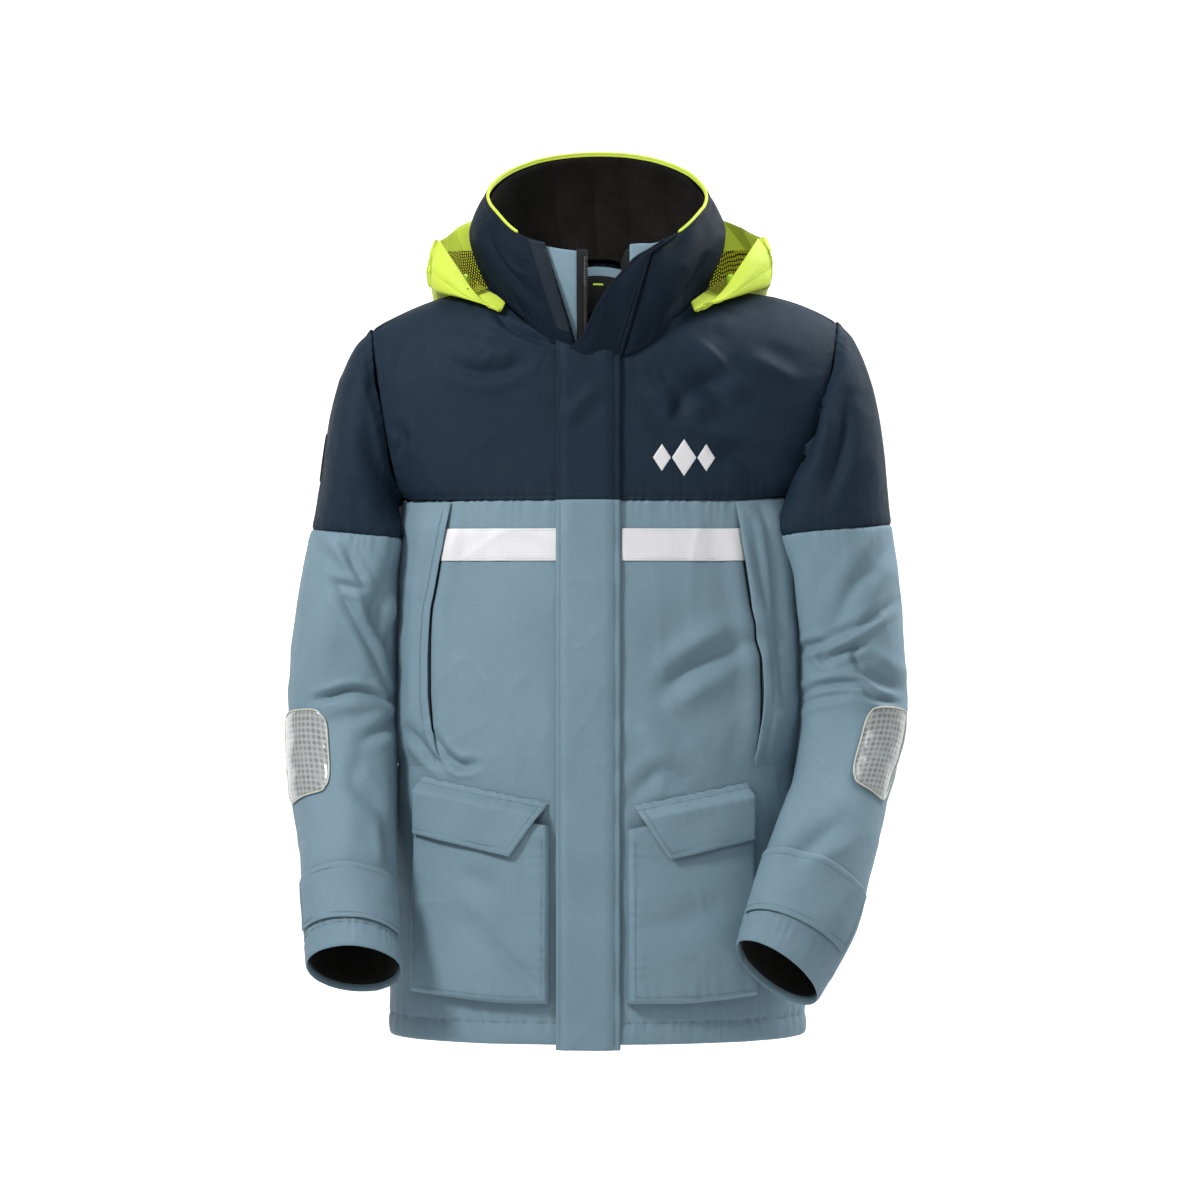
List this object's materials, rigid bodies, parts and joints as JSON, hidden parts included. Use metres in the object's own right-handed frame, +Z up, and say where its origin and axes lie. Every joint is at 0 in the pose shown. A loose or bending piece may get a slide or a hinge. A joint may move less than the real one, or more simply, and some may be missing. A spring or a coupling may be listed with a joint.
{
  "type": "foul weather jacket",
  "caption": "Hip-length hooded foul weather jacket with a high fleece-lined collar, storm flap over a full zip, chest and cargo pockets and adjustable cuffs.",
  "frame": {"origin": "underside of the hanging loop's top, inside the back neck, where a hook bears", "axes": "+Z up, the wearer faces -Y, the wearer's left is +X"},
  "size_m": [0.6418, 0.3518, 0.9265],
  "materials": {
    "navy_shell": "coated woven nylon",
    "blue_shell": "coated woven nylon",
    "neon_shell": "coated woven nylon, high visibility",
    "reflective_white": "retroreflective tape",
    "fleece_black": "brushed fleece",
    "mesh_black": "knitted mesh",
    "lining_grey": "mesh lining",
    "tape_black": "woven tape",
    "moulded_black": "moulded",
    "moulded_neon": "moulded",
    "prism_clear": "prismatic film"
  },
  "bodies": {
    "jacket": {"back_lining": "lining_grey", "back_panel": "blue_shell", "back_yoke": "navy_shell", "cargo_pocket_left": "blue_shell", "cargo_pocket_right": "blue_shell", "chest_band_left": "reflective_white", "chest_band_right": "reflective_white", "chest_emblem": "reflective_white", "chest_welt_left": "blue_shell", "chest_welt_right": "blue_shell", "chest_zip_chain_left": "moulded_black", "chest_zip_chain_right": "moulded_black", "collar_fleece": "fleece_black", "collar_overlap": "navy_shell", "collar_piping": "neon_shell", "collar_shell": "navy_shell", "front_lining_left": "lining_grey", "front_lining_right": "lining_grey", "front_panel_left": "blue_shell", "front_panel_right": "blue_shell", "front_yoke_left": "navy_shell", "front_yoke_right": "navy_shell", "hanging_loop": "tape_black", "inner_placket": "blue_shell", "neck_label": "tape_black", "storm_loop_tape_lower": "tape_black", "storm_loop_tape_upper": "tape_black", "zip_box": "moulded_black", "zip_chain_left": "moulded_black", "zip_chain_right": "moulded_black", "zip_tape_left": "tape_black", "zip_tape_right": "tape_black"},
    "storm_flap": {"storm_flap_yoke": "navy_shell", "storm_flap_body": "blue_shell", "storm_hook_tape": "tape_black"},
    "main_zip_slider": {"main_zip_slider": "moulded_black"},
    "hood": {"hood_shell": "neon_shell", "hood_lining": "mesh_black"},
    "sleeve_right": {"sleeve_upper_right": "navy_shell", "sleeve_lower_right": "blue_shell", "cuff_lining_right": "mesh_black", "prism_patch_right": "prism_clear", "sleeve_label": "reflective_white"},
    "cuff_tab_right": {"cuff_tab_right": "blue_shell"},
    "cargo_flap_right": {"cargo_flap_right": "blue_shell"},
    "chest_zip_slider_right": {"chest_zip_slider_right": "moulded_black"},
    "hood_toggle_right": {"hood_toggle_right": "moulded_neon"},
    "sleeve_left": {"sleeve_upper_left": "navy_shell", "sleeve_lower_left": "blue_shell", "cuff_lining_left": "mesh_black", "prism_patch_left": "prism_clear"},
    "cuff_tab_left": {"cuff_tab_left": "blue_shell"},
    "cargo_flap_left": {"cargo_flap_left": "blue_shell"},
    "chest_zip_slider_left": {"chest_zip_slider_left": "moulded_black"},
    "hood_toggle_left": {"hood_toggle_left": "moulded_neon"}
  },
  "joints": [
    {"name": "sleeve_lift_right", "type": "hinge", "parent": "jacket", "child": "sleeve_right", "pos_m": [-0.236, -0.06, -0.07], "axis": [0, 1, 0], "range_deg": [0, 35.5]},
    {"name": "cuff_tab_right", "type": "hinge", "parent": "sleeve_right", "child": "cuff_tab_right", "pos_m": [-0.20206, -0.16796, -0.64216], "axis": [-0.0819, 0.4941, 0.8655], "range_deg": [0, 80.2]},
    {"name": "cargo_flap_right", "type": "hinge", "parent": "jacket", "child": "cargo_flap_right", "pos_m": [-0.05486, -0.18737, -0.56147], "axis": [-0.9073, 0.3838, 0.1717], "range_deg": [0, 80.2]},
    {"name": "chest_zip_right", "type": "slide", "parent": "jacket", "child": "chest_zip_slider_right", "axis": [0, -0.0294, -0.9996], "range_m": [0, 0.165]},
    {"name": "hood_toggle_right", "type": "slide", "parent": "hood", "child": "hood_toggle_right", "axis": [0, 0, 1], "range_m": [0, 0.012]},
    {"name": "sleeve_lift_left", "type": "hinge", "parent": "jacket", "child": "sleeve_left", "pos_m": [0.236, -0.06, -0.07], "axis": [0, -1, 0], "range_deg": [0, 35.5]},
    {"name": "cuff_tab_left", "type": "hinge", "parent": "sleeve_left", "child": "cuff_tab_left", "pos_m": [0.16575, -0.18484, -0.61338], "axis": [-0.3127, -0.403, -0.8601], "range_deg": [0, 80.2]},
    {"name": "cargo_flap_left", "type": "hinge", "parent": "jacket", "child": "cargo_flap_left", "pos_m": [0.03814, -0.18451, -0.56467], "axis": [-0.9439, -0.2773, -0.1791], "range_deg": [0, 80.2]},
    {"name": "chest_zip_left", "type": "slide", "parent": "jacket", "child": "chest_zip_slider_left", "axis": [0, -0.0294, -0.9996], "range_m": [0, 0.165]},
    {"name": "hood_toggle_left", "type": "slide", "parent": "hood", "child": "hood_toggle_left", "axis": [0, 0, 1], "range_m": [0, 0.012]},
    {"name": "hood_lift", "type": "hinge", "parent": "jacket", "child": "hood", "pos_m": [0, -0.12, -0.06], "axis": [1, 0, 0], "range_deg": [0, 9]},
    {"name": "storm_flap", "type": "hinge", "parent": "jacket", "child": "storm_flap", "pos_m": [0.02207, -0.16101, -0.11086], "axis": [-0.0001, 0.0396, 0.9992], "range_deg": [0, 80.2]},
    {"name": "main_zip", "type": "slide", "parent": "jacket", "child": "main_zip_slider", "axis": [0, -0.0399, -0.9992], "range_m": [0, 0.62]}
  ]
}
